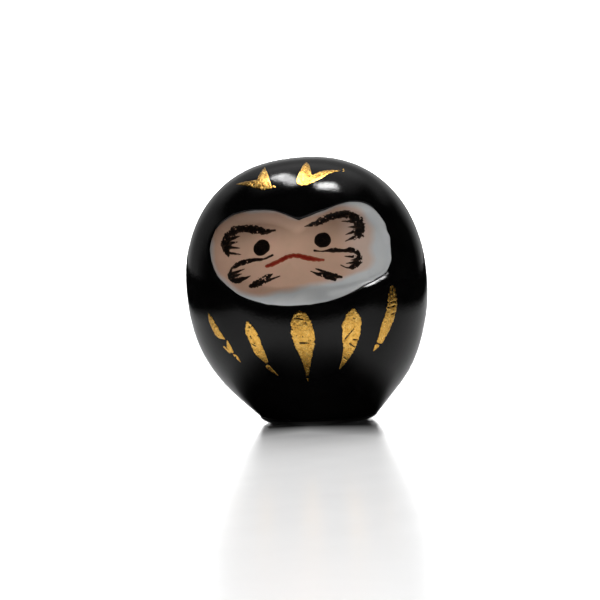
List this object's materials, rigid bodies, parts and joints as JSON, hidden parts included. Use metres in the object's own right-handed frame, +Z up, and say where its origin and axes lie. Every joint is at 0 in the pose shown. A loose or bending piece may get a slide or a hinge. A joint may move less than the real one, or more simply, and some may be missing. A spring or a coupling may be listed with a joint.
{
  "type": "daruma doll",
  "caption": "Small round-bodied daruma doll with a pressed-in painted face, brushed gold marks and a flat weighted foot.",
  "frame": {"origin": "middle of the doll's plan, on the plane that its foot stands on", "axes": "+Z up, towards the crown; -Y is where the face looks; +X is to the right as seen from the front"},
  "size_m": [0.0274, 0.0273, 0.03],
  "materials": {
    "moulded_paper": "bare moulded paper pulp",
    "clay": "dried clay",
    "foot_lacquer": "turned disc under gloss black lacquer",
    "black_lacquer": "deep gloss black",
    "face_enamel": "white gloss tinted pink in the middle",
    "ink": "printed dark brown ink",
    "red_paint": "red-brown paint",
    "gold_foil": "worn gold leaf with pinholes and cracks"
  },
  "bodies": {
    "root": {"shell": "moulded_paper", "clay_weight": "clay", "foot_disc": "foot_lacquer", "lacquer_coat": "black_lacquer", "face_panel": "face_enamel", "pupil_left": "ink", "pupil_right": "ink", "eyebrow_left": "ink", "eyebrow_right": "ink", "whiskers_left": "ink", "whiskers_right": "ink", "beard_left": "ink", "beard_right": "ink", "mouth": "red_paint", "forehead_gold_left": "gold_foil", "forehead_gold_right": "gold_foil", "belly_gold_outer_left": "gold_foil", "belly_gold_inner_left": "gold_foil", "belly_gold_centre": "gold_foil", "belly_gold_inner_right": "gold_foil", "belly_gold_outer_right": "gold_foil"}
  },
  "joints": []
}
